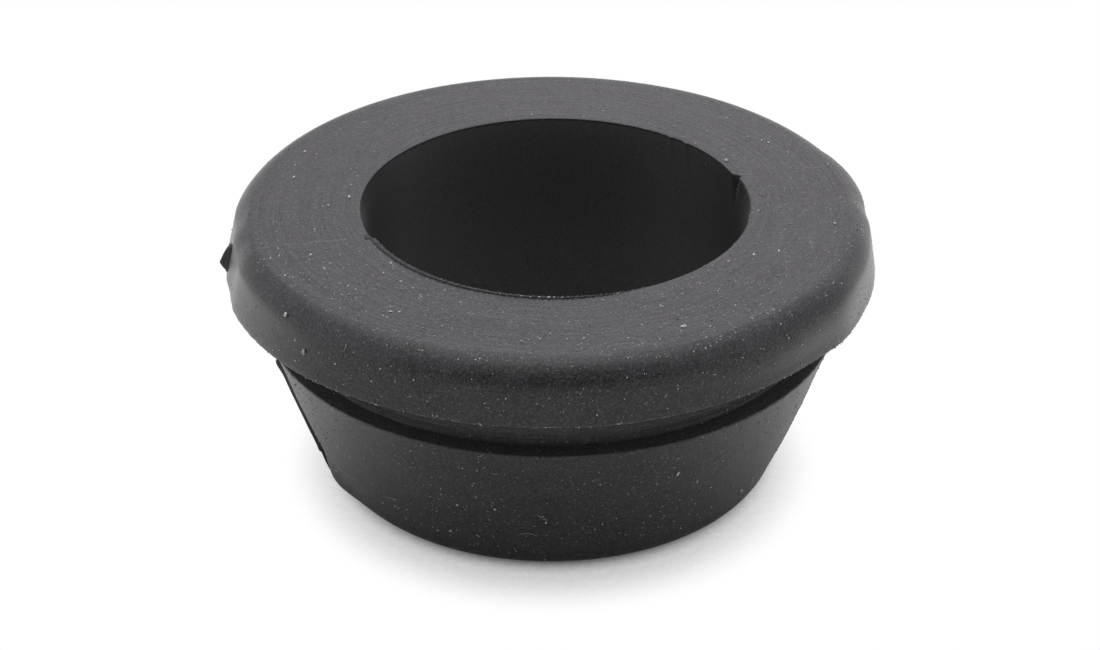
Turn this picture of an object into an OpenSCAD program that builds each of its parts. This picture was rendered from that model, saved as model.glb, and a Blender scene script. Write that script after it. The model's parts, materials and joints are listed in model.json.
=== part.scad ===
// Rubber grommet for a round panel hole.
// One moulding with a wide flange on top, a groove that grips the panel's edge, a barb that tapers
// to a narrow foot so that it can be pushed through the hole, and a straight bore from end to end.
// The Z axis runs up the middle of the bore, and the foot stands on Z = 0.
// The two halves of the mould met on the XZ plane, and their flash is left on the -X side.

/* [Bore and walls] */
// Diameter of the straight bore
bore_d = 25.4; // [8:0.1:80]
// Rubber between the bore and the bottom of the groove
neck_wall = 5.2; // [3:0.1:12]
// Rubber between the bore and the outside of the foot
foot_wall = 2.4; // [1.6:0.1:4]

/* [Flange] */
// How far the flange's bottom edge stands out past the bottom of the groove
flange_reach = 3.7; // [2:0.1:10]
// Thickness of the flange
flange_t = 4; // [2.5:0.1:10]
// How much narrower the flange's side is at the top than at the bottom edge
flange_draft = 0.8; // [0:0.1:1]
// Radius of the flange's top outer edge
flange_round = 1.6; // [0.2:0.1:1.9]

/* [Groove] */
// Width of the groove, from the flange down to the barb
groove_w = 3.4; // [1:0.1:12]

/* [Barb] */
// How far the barb's top edge stands out past the bottom of the groove
barb_reach = 1.3; // [0.5:0.1:6]
// Height of the tapered barb, from the foot up to the groove
barb_h = 11.4; // [7:0.1:30]
// Radius of the edge round the foot
foot_round = 1.9; // [0.1:0.1:2]

/* [Mould flash] */
// Thickness of the flash, across the parting plane
flash_t = 0.3; // [0.2:0.05:1]
// How far the fin stands off the barb
fin_reach = 0.35; // [0.1:0.05:1]
// How far the nub stands off the flange's side
nub_reach = 0.5; // [0.2:0.05:2]
// Height of the nub
nub_h = 1.7; // [0.5:0.1:2.2]
// How far the nub stands behind the parting plane, in degrees round the bore
nub_turn = 7; // [0:1:12]

/* [Hidden] */

// Facets of a preview circle
$fn = 96;

bore_r = bore_d / 2;
neck_r = bore_r + neck_wall;
foot_r = bore_r + foot_wall;
barb_r = neck_r + barb_reach;
flange_r = neck_r + flange_reach;

// Heights above the foot
groove_top = barb_h + groove_w;
top = groove_top + flange_t;

// The barb's taper, from the vertical
taper = atan((barb_r - foot_r) / barb_h);

// The lean of the flange's side, from the vertical
lean = atan(flange_draft / flange_t);

// How deep the flash is rooted in the rubber
flash_root = 0.4;

// The foot's rounding is centred at this radius
foot_edge = foot_r - foot_round * (1 - sin(taper)) / cos(taper);

// The fin runs from just above the floor to just below the barb's top edge
fin_low = 0.2;
fin_drop = 0.15;

// The nub starts this far above the flange's bottom edge, and its tip is below its middle
nub_rise = 0.6;
nub_tip = 0.35;

// Radius of the barb's outside at a height above the foot
function barb_at(z) = foot_r + z * tan(taper);

// Radius of the flange's side at a height above the foot
function flange_at(z) = flange_r - (z - groove_top) * tan(lean);

// The tapered barb, with its foot edge rounded by a circle that touches the bottom and the taper
module barb_outline() {
    edge = [foot_edge, foot_round];
    touch = edge + foot_round * [cos(taper), -sin(taper)];
    polygon([[0, 0], [foot_edge, 0], touch, [barb_r, barb_h], [0, barb_h]]);
    translate(edge) circle(r = foot_round);
}

// The neck at the bottom of the groove
module neck_outline() {
    translate([0, barb_h]) square([neck_r, groove_w]);
}

// The flange, with its top outer edge rounded by a circle that touches the top and the leaning side
module flange_outline() {
    edge_z = top - flange_round;
    edge = [flange_at(edge_z) - flange_round / cos(lean), edge_z];
    touch = edge + flange_round * [cos(lean), sin(lean)];
    polygon([[0, groove_top], [flange_r, groove_top], touch, [edge.x, top], [0, top]]);
    translate(edge) circle(r = flange_round);
}

// The whole moulding, turned round the bore's axis
module body() {
    rotate_extrude() difference() {
        union() {
            barb_outline();
            neck_outline();
            flange_outline();
        }
        square([bore_r, top]);
    }
}

// Stands an outline, drawn as distance from the axis and height, on the parting plane's -X side
module on_parting_plane() {
    rotate([90, 0, 180]) linear_extrude(height = flash_t, center = true) children();
}

// The thin fin down the barb's side
module fin() {
    high = barb_h - fin_drop;
    on_parting_plane() polygon([
        [foot_edge, fin_low],
        [barb_at(fin_low) + fin_reach, fin_low],
        [barb_at(high - fin_reach) + fin_reach, high - fin_reach],
        [barb_at(high) - flash_root, high]
    ]);
}

// The claw-shaped nub on the flange's side, just behind the parting plane
module nub() {
    low = groove_top + nub_rise;
    high = low + nub_h;
    tip = low + nub_tip * nub_h;
    root = flange_at(high) - flange_round;
    rotate([0, 0, -nub_turn]) on_parting_plane() polygon([
        [root, high],
        [flange_at(high), high],
        [flange_at(tip) + nub_reach, tip],
        [flange_at(low), low],
        [root, low]
    ]);
}

module grommet() {
    color([0.2, 0.2, 0.21]) union() {
        body();
        fin();
        nub();
    }
}

grommet();
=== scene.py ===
"""Rubber grommet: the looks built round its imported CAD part.

The body is a section revolved in Geometry Nodes, and then given the small faults that its two-part mould left in it.
Flash, edge burrs, dust and lint are pieces of their own. Lengths are in metres unless a docstring says otherwise, and
azimuths are in degrees round the bore: 0 is +X, where the mould halves meet on the right, and -90 is the front.
"""

from __future__ import annotations

import json
import logging
import math
import random
from collections.abc import Callable, Sequence
from dataclasses import dataclass
from enum import Enum

import bmesh
import bpy
import numpy as np
from mathutils import Matrix, Vector, noise


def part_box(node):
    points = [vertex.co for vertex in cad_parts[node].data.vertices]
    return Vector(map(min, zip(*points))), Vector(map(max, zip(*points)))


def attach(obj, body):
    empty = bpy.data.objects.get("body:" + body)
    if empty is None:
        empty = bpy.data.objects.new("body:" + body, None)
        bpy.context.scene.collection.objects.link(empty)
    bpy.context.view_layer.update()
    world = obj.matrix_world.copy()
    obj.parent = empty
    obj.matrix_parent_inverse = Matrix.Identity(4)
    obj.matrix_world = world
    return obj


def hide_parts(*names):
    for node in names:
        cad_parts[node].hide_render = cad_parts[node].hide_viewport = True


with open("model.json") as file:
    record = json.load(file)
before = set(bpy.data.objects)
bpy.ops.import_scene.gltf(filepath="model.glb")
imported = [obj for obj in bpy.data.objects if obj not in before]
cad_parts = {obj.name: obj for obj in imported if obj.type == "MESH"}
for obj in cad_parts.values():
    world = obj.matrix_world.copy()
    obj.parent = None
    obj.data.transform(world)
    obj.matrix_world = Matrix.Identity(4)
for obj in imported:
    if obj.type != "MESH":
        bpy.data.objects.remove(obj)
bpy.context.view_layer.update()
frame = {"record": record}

LOG = logging.getLogger("grommet")
NODE = "grommet"
BODY = "root"
MM = 0.001
GEOMETRY, FLOAT, INTEGER, MATERIAL = "NodeSocketGeometry", "NodeSocketFloat", "NodeSocketInt", "NodeSocketMaterial"

Socket = bpy.types.NodeSocket
Given = bpy.types.NodeOutputs
Tree = bpy.types.NodeTree
Object = bpy.types.Object
Material = bpy.types.Material
Value = float | int | tuple | str | Socket
Colour = tuple[float, float, float, float]
Band = tuple[float, float]


# ---------------------------------------------------------------------------------------------- node graphs


class Graph:
    """A node tree under construction: a geometry tree, a shader group or a material."""

    def __init__(self, tree: Tree) -> None:
        """Keeps the tree that the nodes go into.

        Args:
            tree: the tree to fill.
        """
        self.tree = tree

    @classmethod
    def group(cls, name: str, kind: str, takes: dict[str, tuple], gives: dict[str, str]) -> Graph:
        """Starts a node group with named sockets.

        Args:
            name: the group's name.
            kind: the tree type.
            takes: each input's name with its socket type and, where it has one, its default.
            gives: each output's name with its socket type.

        Returns:
            The graph of the new group.
        """
        tree = bpy.data.node_groups.new(name, kind)
        for label, (socket_type, *default) in takes.items():
            socket = tree.interface.new_socket(label, in_out="INPUT", socket_type=socket_type)
            if default:
                socket.default_value = default[0]
        for label, socket_type in gives.items():
            tree.interface.new_socket(label, in_out="OUTPUT", socket_type=socket_type)
        return cls(tree)

    @classmethod
    def solid(cls, name: str, takes: dict[str, tuple]) -> Graph:
        """Makes a geometry tree that takes a mesh, some values and a material, and gives a mesh.

        Args:
            name: the tree's name.
            takes: the type and the default of each value.

        Returns:
            The tree's graph.
        """
        takes = {"Geometry": (GEOMETRY,), **takes, "Material": (MATERIAL,)}
        return cls.group(name, "GeometryNodeTree", takes, {"Geometry": GEOMETRY})

    def start(self) -> Given:
        """Returns the group's own inputs as sockets to link from."""
        return self.tree.nodes.new("NodeGroupInput").outputs

    def finish(self, results: dict[str, Socket]) -> Tree:
        """Joins the results to the group's outputs.

        Args:
            results: each output's name with the socket that feeds it.

        Returns:
            The finished tree.
        """
        end = self.tree.nodes.new("NodeGroupOutput")
        for label, socket in results.items():
            self.tree.links.new(socket, end.inputs[label])
        return self.tree

    def node(self, kind: str, inputs: dict[int | str, Value] | None = None, **settings: object) -> bpy.types.Node:
        """Adds a node.

        Args:
            kind: the node's type.
            inputs: a value or a socket for each input, by name or by number.
            settings: the node's own properties.

        Returns:
            The node.
        """
        node = self.tree.nodes.new(kind)
        for name, value in settings.items():
            setattr(node, name, value)
        for key, value in (inputs or {}).items():
            self.feed(node.inputs[key], value)
        return node

    def feed(self, end: Socket, value: Value) -> None:
        """Links a socket to a node's input, or sets the input's own value.

        Args:
            end: the input.
            value: a socket or a plain value.
        """
        if isinstance(value, Socket):
            self.tree.links.new(value, end)
        else:
            end.default_value = value

    def out(self, kind: str, inputs: dict[int | str, Value] | None = None, **settings: object) -> Socket:
        """Adds a node, as node() does, and returns its first output."""
        return self.node(kind, inputs, **settings).outputs[0]

    def math(self, operation: str, a: Value, b: Value = 0.0, c: Value = 0.0) -> Socket:
        """Adds a Math node and returns its output."""
        return self.out("ShaderNodeMath", {0: a, 1: b, 2: c}, operation=operation)

    def times(self, a: Value, b: Value) -> Socket:
        """Multiplies two values."""
        return self.math("MULTIPLY", a, b)

    def plus(self, a: Value, b: Value) -> Socket:
        """Adds two values."""
        return self.math("ADD", a, b)

    def times_plus(self, a: Value, b: Value, c: Value) -> Socket:
        """Multiplies two values and adds a third."""
        return self.math("MULTIPLY_ADD", a, b, c)

    def xyz(self, x: Value, y: Value, z: Value = 0.0) -> Socket:
        """Makes a vector from its three parts."""
        return self.out("ShaderNodeCombineXYZ", {"X": x, "Y": y, "Z": z})

    def length(self, vector: Value) -> Socket:
        """Returns the length of a vector."""
        return self.node("ShaderNodeVectorMath", {0: vector}, operation="LENGTH").outputs["Value"]

    def dot(self, a: Value, b: Value) -> Socket:
        """Returns the dot product of two vectors."""
        return self.node("ShaderNodeVectorMath", {0: a, 1: b}, operation="DOT_PRODUCT").outputs["Value"]

    def random_vector(self, low: tuple, high: tuple, seed: Value) -> Socket:
        """Returns a vector between two others, a different one at each point."""
        return self.out("FunctionNodeRandomValue", {0: low, 1: high, "Seed": seed}, data_type="FLOAT_VECTOR")

    def between(self, value: Value, low: float, high: float, ends: Band = (0.0, 1.0)) -> Socket:
        """Maps a range smoothly onto another and clamps it.

        Args:
            value: what is mapped.
            low: the start of the range.
            high: the end of the range.
            ends: what the two ends of the range become.

        Returns:
            The mapped value.
        """
        inputs = {"Value": value, "From Min": low, "From Max": high, "To Min": ends[0], "To Max": ends[1]}
        return self.out("ShaderNodeMapRange", inputs, interpolation_type="SMOOTHSTEP")

    def pick(self, data_type: str, index: Socket, choices: Sequence[Value]) -> Socket:
        """Chooses one value by number.

        Args:
            data_type: the type of the values.
            index: which one is wanted.
            choices: the values, in order.

        Returns:
            The chosen value.
        """
        node = self.node("GeometryNodeIndexSwitch", data_type=data_type)
        while len(node.index_switch_items) < len(choices):
            node.index_switch_items.new()
        self.feed(node.inputs[0], index)
        for number, value in enumerate(choices):
            self.feed(node.inputs[1 + number], value)
        return node.outputs[0]

    def blend_colour(self, factor: Value, a: Value, b: Value) -> Socket:
        """Mixes two colours, whose sockets are inputs 6 and 7 of the node, and returns the mixture, its output 2."""
        return self.node("ShaderNodeMix", {0: factor, 6: a, 7: b}, data_type="RGBA").outputs[2]

    def noise(self, place: Socket, scale: Value, detail: float = 2.0, rough: float = 0.5) -> Socket:
        """Adds a Noise Texture and returns its value, from 0 to 1 about a middle of 0.5."""
        inputs = {"Vector": place, "Scale": scale, "Detail": detail, "Roughness": rough}
        return self.out("ShaderNodeTexNoise", inputs)

    def strewn(self, points: Socket, grain: Socket, squash: Socket, size: Socket, seed: Value) -> Socket:
        """Puts a grain on each point, squashed, sized and turned at random.

        Args:
            points: where the grains go.
            grain: the shape of one, with a radius of 1.
            squash: its proportions.
            size: its radius.
            seed: the seed of the turns.

        Returns:
            The grains.
        """
        scale = self.out("ShaderNodeVectorMath", {0: squash, "Scale": size}, operation="SCALE")
        turn = self.random_vector((0, 0, 0), (math.tau,) * 3, seed)
        inputs = {"Points": points, "Instance": grain, "Rotation": turn, "Scale": scale}
        return self.out("GeometryNodeInstanceOnPoints", inputs)

    def finish_solid(self, solid: Socket, material: Socket) -> Tree:
        """Ends a geometry tree: makes its instances real and gives them their material.

        Args:
            solid: the geometry.
            material: its material.

        Returns:
            The finished tree.
        """
        real = self.out("GeometryNodeRealizeInstances", {"Geometry": solid})
        painted = self.out("GeometryNodeSetMaterial", {"Geometry": real, "Material": material})
        return self.finish({"Geometry": painted})


def run_tree(source: Object, tree: Tree, values: dict[str, object]) -> Object:
    """Puts an object through a geometry tree and leaves it as a plain mesh.

    Args:
        source: the object whose mesh the tree starts from.
        tree: the tree.
        values: a value for each of the tree's inputs, by name.

    Returns:
        The same object, holding the result, with no modifier.
    """
    modifier = source.modifiers.new(tree.name, "NODES")
    modifier.node_group = tree
    for item in tree.interface.items_tree:
        if item.item_type == "SOCKET" and item.in_out == "INPUT" and item.name in values:
            modifier[item.identifier] = values[item.name]
    graph = bpy.context.evaluated_depsgraph_get()
    evaluated = source.evaluated_get(graph)
    made = bpy.data.meshes.new_from_object(evaluated, preserve_all_data_layers=True, depsgraph=graph)
    source.modifiers.remove(modifier)
    source.data = made
    made.name = source.name
    return source


def plain_object(name: str, points: Sequence, edges: Sequence = (), faces: Sequence = ()) -> Object:
    """Makes an object from points, edges and faces, and links it to the scene.

    Args:
        name: the object's name.
        points: its vertices.
        edges: pairs of vertex numbers.
        faces: rings of vertex numbers.

    Returns:
        The object.
    """
    mesh = bpy.data.meshes.new(name)
    mesh.from_pydata([tuple(p) for p in points], list(edges), list(faces))
    mesh.update()
    made = bpy.data.objects.new(name, mesh)
    bpy.context.scene.collection.objects.link(made)
    return made


def points_of(mesh: bpy.types.Mesh) -> np.ndarray:
    """Reads where a mesh's vertices are.

    Args:
        mesh: the mesh.

    Returns:
        An array of three columns.
    """
    flat = np.empty(len(mesh.vertices) * 3)
    mesh.vertices.foreach_get("co", flat)
    return flat.reshape(-1, 3)


DOUBLES = 1e-7


def face_outwards(mesh: bpy.types.Mesh) -> None:
    """Merges a mesh's doubles and turns its faces outwards.

    Args:
        mesh: the mesh, which is changed in place.
    """
    made = bmesh.new()
    made.from_mesh(mesh)
    bmesh.ops.remove_doubles(made, verts=made.verts, dist=DOUBLES)
    bmesh.ops.recalc_face_normals(made, faces=made.faces)
    made.to_mesh(mesh)
    made.free()


def loft(name: str, rings: Sequence[Sequence[Vector]]) -> Object:
    """Makes a closed solid through rings of points.

    Args:
        name: the object's name.
        rings: rings of equal length, in order along the solid.

    Returns:
        The object, smooth shaded.
    """
    count = len(rings[0])
    faces = [tuple(range(count))]
    for ring in range(len(rings) - 1):
        for k in range(count):
            a, b = ring * count + k, ring * count + (k + 1) % count
            faces.append((a, b, b + count, a + count))
    faces.append(tuple(range((len(rings) - 1) * count, len(rings) * count)))
    made = plain_object(name, [p for ring in rings for p in ring], faces=faces)
    face_outwards(made.data)
    made.data.shade_smooth()
    return made


def unit_noise(x: float, y: float = 0.0, z: float = 0.0) -> float:
    """Returns repeatable noise, from about -1 to 1, at a place in noise space."""
    return noise.noise(Vector((x, y, z)))


def smooth(low: float, high: float, value: np.ndarray | float) -> np.ndarray | float:
    """Returns a smooth step from 0 at low to 1 at high."""
    t = np.clip((value - low) / (high - low), 0.0, 1.0)
    return t * t * (3 - 2 * t)


def smooth_from(start: float, fade: Band, value: np.ndarray) -> np.ndarray:
    """Returns a share that rises from 0 to 1 between two distances past a start."""
    return smooth(start + fade[0], start + fade[1], value)


# ------------------------------------------------------------------------------------------------- finishes


class Effects:
    """The shader groups that more than one finish uses, each built once."""

    @staticmethod
    def _shared(name: str, build: Callable[[str], Tree]) -> Tree:
        """Returns the group of that name, building it the first time."""
        return bpy.data.node_groups.get(name) or build(name)

    @classmethod
    def grain(cls) -> Tree:
        """Returns the group for the fine pitted grain of moulded rubber."""
        return cls._shared("Moulded grain", cls._build_grain)

    @classmethod
    def film(cls) -> Tree:
        """Returns the group for a film of fine dust."""
        return cls._shared("Dust film", cls._build_film)

    @classmethod
    def streaks(cls) -> Tree:
        """Returns the group for marks that a lathe tool left round the mould."""
        return cls._shared("Turning marks", cls._build_streaks)

    @staticmethod
    def _build_grain(name: str) -> Tree:
        """Builds the grain group.

        Args:
            name: the group's name.

        Returns:
            A group that takes a place in millimetres and gives a height.
        """
        takes = {"Place": ("NodeSocketVector",), "Fineness": (FLOAT, 6.0), "Pits": (FLOAT, 0.4)}
        graph = Graph.group(name, "ShaderNodeTree", takes, {"Height": FLOAT})
        given = graph.start()
        fine = graph.noise(given["Place"], given["Fineness"], 3.0, 0.6)
        cells = graph.out("ShaderNodeTexVoronoi", {"Vector": given["Place"], "Scale": given["Fineness"]})
        return graph.finish({"Height": graph.times_plus(graph.between(cells, 0.05, 0.35), given["Pits"], fine)})

    @staticmethod
    def _build_film(name: str) -> Tree:
        """Builds the dust group.

        Args:
            name: the group's name.

        Returns:
            A group that takes a place in millimetres and gives a mask of a thin film with fine specks in it.
        """
        takes = {"Place": ("NodeSocketVector",), "Film": (FLOAT, 0.3), "Specks": (FLOAT, 0.5)}
        graph = Graph.group(name, "ShaderNodeTree", takes, {"Mask": FLOAT})
        given = graph.start()
        cloud = graph.between(graph.noise(given["Place"], 0.35, 4.0, 0.65), 0.3, 0.75)
        mottle = graph.between(graph.noise(given["Place"], 2.6, 4.0, 0.7), 0.35, 0.75)
        grit = graph.between(graph.noise(given["Place"], 5.5, 2.0, 0.6), 0.44, 0.70)
        both = graph.plus(graph.times(cloud, 0.5), graph.times(mottle, 0.7))
        film = graph.times(graph.times_plus(grit, 2.0, both), given["Film"])
        dots = graph.between(graph.noise(given["Place"], 6.5, 1.0, 0.4), 0.65, 0.74)
        return graph.finish({"Mask": graph.times_plus(dots, given["Specks"], film)})

    @staticmethod
    def _build_streaks(name: str) -> Tree:
        """Builds the turning marks.

        Args:
            name: the group's name.

        Returns:
            A group that takes a distance across the marks in millimetres and the angle round the bore in radians,
            and gives a height.
        """
        takes = {"Across": (FLOAT, 0.0), "Angle": (FLOAT, 0.0), "Spacing": (FLOAT, 0.3), "Length": (FLOAT, 0.5)}
        graph = Graph.group(name, "ShaderNodeTree", takes, {"Height": FLOAT})
        given = graph.start()
        across = graph.math("DIVIDE", given["Across"], given["Spacing"])
        round_the_bore = [
            graph.math("DIVIDE", graph.math(turned, given["Angle"]), given["Length"]) for turned in ("COSINE", "SINE")
        ]
        return graph.finish({"Height": graph.noise(graph.xyz(across, *round_the_bore), 1.0, 3.0, 0.6)})


class Ground:
    """The start of a material: its graph, with object coordinates in millimetres."""

    def __init__(self, name: str) -> None:
        """Makes the material and the nodes that most finishes start from.

        Args:
            name: the material's name.
        """
        self.material = bpy.data.materials.new(name)
        self.material.use_nodes = True
        self.material.node_tree.nodes.clear()
        self.graph = Graph(self.material.node_tree)
        here = self.graph.node("ShaderNodeTexCoord").outputs["Object"]
        scaled = {"Vector": here, "Scale": (1 / MM, 1 / MM, 1 / MM)}
        self.place = self.graph.out("ShaderNodeMapping", scaled)
        self.x, self.y, self.z = self.graph.node("ShaderNodeSeparateXYZ", {0: self.place}).outputs

    def radius(self) -> Socket:
        """Returns the distance from the bore's axis, in millimetres."""
        return self.graph.length(self.graph.xyz(self.x, self.y))

    def angle(self) -> Socket:
        """Returns the angle round the bore, in radians."""
        return self.graph.math("ARCTAN2", self.y, self.x)

    def use(self, group: Tree, inputs: dict[str, Value]) -> Socket:
        """Places a shader group and returns its output."""
        return self.graph.out("ShaderNodeGroup", inputs, node_tree=group)

    def streaks(self, across: Socket, marks: Band) -> Socket:
        """Places the turning marks.

        Args:
            across: the distance across the marks, in millimetres.
            marks: their spacing and their length.

        Returns:
            A height.
        """
        inputs = {"Across": across, "Angle": self.angle(), "Spacing": marks[0], "Length": marks[1]}
        return self.use(Effects.streaks(), inputs)

    def mask(self, value: Value, rise: Band, fall: Band) -> Socket:
        """Returns a mask of a band, which comes in over one range of a value and goes out over another."""
        return self.graph.times(self.graph.between(value, *rise), self.graph.between(value, fall[1], fall[0]))

    def close(self, shader: Socket) -> Material:
        """Joins the shader to the material's output and returns the material."""
        self.graph.node("ShaderNodeOutputMaterial", {"Surface": shader})
        return self.material


@dataclass(frozen=True)
class Places:
    """Where the parts and marks of the body lie, and where painted light goes, for its finish."""

    ground: Ground
    section: Section
    ring_depth: float = 0.030
    ring_marks: Band = (0.22, 0.35)
    line_depth: float = 0.08
    line_marks: Band = (0.16, 0.4)

    def in_bore(self) -> Socket:
        """Builds the mask of the bore's wall, which is duller than the outside and takes its own painted light and
        shade.

        Returns:
            A mask from 0 to 1.
        """
        graph, edge, top = self.ground.graph, self.section.bore_r / MM, self.section.top / MM
        wall = graph.between(self.ground.radius(), edge + 0.7, edge + 0.4)
        return graph.times(wall, graph.between(self.ground.z, top - 0.10, top - 0.25))

    def in_groove(self) -> Socket:
        """Builds the mask of the groove: its floor, and the barb's flat ledge below it, where the turning lines and
        painted light go.

        Returns:
            A mask from 0 to 1.
        """
        ground, section = self.ground, self.section
        low, high, edge = section.barb_top / MM, section.groove_top / MM, section.bore_r / MM
        level = ground.mask(ground.z, (low - 0.04, low), (high - 0.1, high))
        return ground.graph.times(level, ground.graph.between(ground.radius(), edge + 1.0, edge + 1.2))

    def painted_rim_highlight_mask(self) -> Socket:
        """Builds the mask of a painted highlight on the flange's side where it turns away from the eye, paled as a
        grazing reflection would pale it.

        Returns:
            A mask from 0 to 1.
        """
        graph, low, high = self.ground.graph, self.section.groove_top / MM, self.section.top / MM
        facing = graph.node("ShaderNodeLayerWeight", {"Blend": 0.5}).outputs["Facing"]
        level = self.ground.mask(self.ground.z, (low - 0.1, low), (high - 1.7, high - 1.0))
        return graph.times(graph.between(facing, 0.30, 0.95), level)

    def turning(self) -> Socket:
        """Builds the height of the tool marks: rings on the top face and lines round the groove.

        Returns:
            A height in millimetres.
        """
        ground, graph, top = self.ground, self.ground.graph, self.section.top / MM
        on_top = graph.between(ground.z, top - 0.12, top - 0.02)
        rings = graph.times(graph.times(ground.streaks(ground.radius(), self.ring_marks), on_top), self.ring_depth)
        lines = graph.times(graph.times(ground.streaks(ground.z, self.line_marks), self.in_groove()), self.line_depth)
        return graph.plus(rings, lines)

    def seam(self) -> Socket:
        """Builds the mask of the faint line where the mould halves met on the top face.

        Returns:
            A mask from 0 to 1.
        """
        ground, graph, seam, top = self.ground, self.ground.graph, Seam(), self.section.top / MM
        reach = seam.change / MM
        middle = graph.between(ground.x, -reach, reach, (seam.left / MM, seam.right / MM))
        middle = graph.times_plus(ground.x, seam.lean, middle)
        wander = graph.times_plus(graph.noise(ground.place, 0.55, 2.0), 0.9, -0.45)
        off = graph.math("ABSOLUTE", graph.math("SUBTRACT", graph.plus(ground.y, wander), middle))
        faint = graph.between(graph.noise(ground.place, 1.3, 3.0), 0.35, 0.6)
        line = graph.times(graph.between(off, 0.14, 0.03), faint)
        return graph.times(line, graph.between(ground.z, top - 0.4, top - 0.1))


@dataclass(frozen=True)
class Rubber:
    """Black moulded rubber with a pale bloom, fine grain and a film of dust, with painted light and shade on the
    bore's wall, painted light in the groove and a painted highlight on the flange's side.
    """

    name: str = "black_rubber"
    colour: Colour = (0.0080, 0.0076, 0.0081, 1.0)
    bloom: Colour = (0.047, 0.045, 0.048, 1.0)
    dust: Colour = (0.30, 0.30, 0.30, 1.0)
    # Colours of the bore's wall: painted shade where it catches more light, painted light at the back and low down,
    # where it gets little.
    near_wall_painted_shade: Colour = (0.014, 0.0136, 0.014, 1.0)
    far_wall_painted_light: Colour = (0.097, 0.094, 0.097, 1.0)
    lowest_wall_painted_light: Colour = (0.144, 0.140, 0.143, 1.0)
    roughness: float = 0.34
    uneven_roughness: float = 0.04
    sheen: float = 0.22
    grain_depth: float = 0.012
    speckle_share: float = 0.68
    mottle_share: float = 0.28
    least_bloom: float = 0.02
    film: float = 0.066
    specks: float = 0.30
    ring_film: float = 0.08
    seam_film: float = 0.12
    # Painted light that pales the shaded groove and the barb's ledge.
    groove_painted_light: float = 0.10
    # Painted highlight on the flange's side where it turns away from the eye.
    rim_painted_highlight: float = 0.60
    seam_height: float = 0.02
    grain_size: float = 7.0
    pits: float = 0.35
    wall_depths: Band = (3.0, 5.0)
    far_along: Band = (-2.0, 8.5)
    far_across: Band = (-12.6, -7.0)
    deep_share: Band = (0.7, 0.3)
    wall_speckle: float = 0.3
    turned: bool = True

    def make(self, section: Section | None = None) -> Material:
        """Builds the material.

        Args:
            section: the body's sizes, which place the turning marks, the seam line and the painted light and shade.

        Returns:
            The material.
        """
        ground = Ground(self.name)
        graph = ground.graph
        mottle = graph.between(graph.noise(ground.place, 0.9, 5.0, 0.65), 0.3, 0.72)
        film = ground.use(Effects.film(), {"Place": ground.place, "Film": self.film, "Specks": self.specks})
        fine = ground.use(Effects.grain(), {"Place": ground.place, "Fineness": self.grain_size, "Pits": self.pits})
        height = graph.times(fine, self.grain_depth)
        speckle = graph.between(graph.noise(ground.place, 8.0, 2.0, 0.6), 0.36, 0.66)
        tone = graph.times_plus(mottle, self.mottle_share, self.least_bloom)
        tone = graph.times_plus(speckle, self.speckle_share, tone)
        colour = graph.blend_colour(tone, self.colour, self.bloom)
        if self.turned and section:
            places = Places(ground, section)
            marks, seam = places.turning(), places.seam()
            height = graph.plus(height, graph.plus(marks, graph.times(seam, self.seam_height)))
            film = graph.times_plus(graph.between(marks, 0.008, 0.020), self.ring_film, film)
            film = graph.times_plus(seam, self.seam_film, film)
            # Painted light: the groove and the barb's shaded ledge are paled so that they read less dark.
            film = graph.times_plus(places.in_groove(), self.groove_painted_light, film)
            # Painted highlight: the flange's side is paled where it turns away from the eye, as if reflecting the
            # bright surroundings.
            film = graph.times_plus(places.painted_rim_highlight_mask(), self.rim_painted_highlight, film)
        # The film mask now holds dust together with the painted light of the groove and the flange's side; all of
        # them pale the rubber towards the dust grey.
        colour = graph.blend_colour(film, colour, self.dust)
        dull = graph.times_plus(mottle, self.uneven_roughness, self.roughness)
        if section:
            inside = Places(ground, section).in_bore()
            # The bore's wall takes painted light and shade in place of the outside's colour.
            colour = graph.blend_colour(inside, colour, self._bore_wall_painted_light(ground, section, speckle))
            dull = graph.times_plus(inside, graph.math("SUBTRACT", 1.0, dull), dull)
        inputs = {
            "Base Color": colour,
            "Roughness": dull,
            "IOR": 1.5,
            "Sheen Weight": self.sheen,
            "Sheen Roughness": 0.25,
            "Normal": graph.out("ShaderNodeBump", {"Height": height, "Distance": MM, "Strength": 1.0}),
        }
        return ground.close(graph.out("ShaderNodeBsdfPrincipled", inputs))

    def _bore_wall_painted_light(self, ground: Ground, section: Section, speckle: Socket) -> Socket:
        """Builds the bore wall's painted light and shade: paler at the back and paler still low down, where it gets
        little light, and darker elsewhere, where it catches more.

        Args:
            ground: the material under construction.
            section: the body's sizes.
            speckle: the rubber's fine speckle.

        Returns:
            The colour.
        """
        graph = ground.graph
        down = graph.between(ground.z, section.top / MM - self.wall_depths[0], self.wall_depths[1])
        far = graph.times(graph.between(ground.y, *self.far_along), graph.between(ground.x, *self.far_across))
        wall = graph.blend_colour(far, self.near_wall_painted_shade, self.far_wall_painted_light)
        wall = graph.blend_colour(graph.times(down, graph.times_plus(far, *self.deep_share)), wall, self.lowest_wall_painted_light)
        return graph.blend_colour(graph.times(speckle, self.wall_speckle), wall, self.colour)


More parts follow.
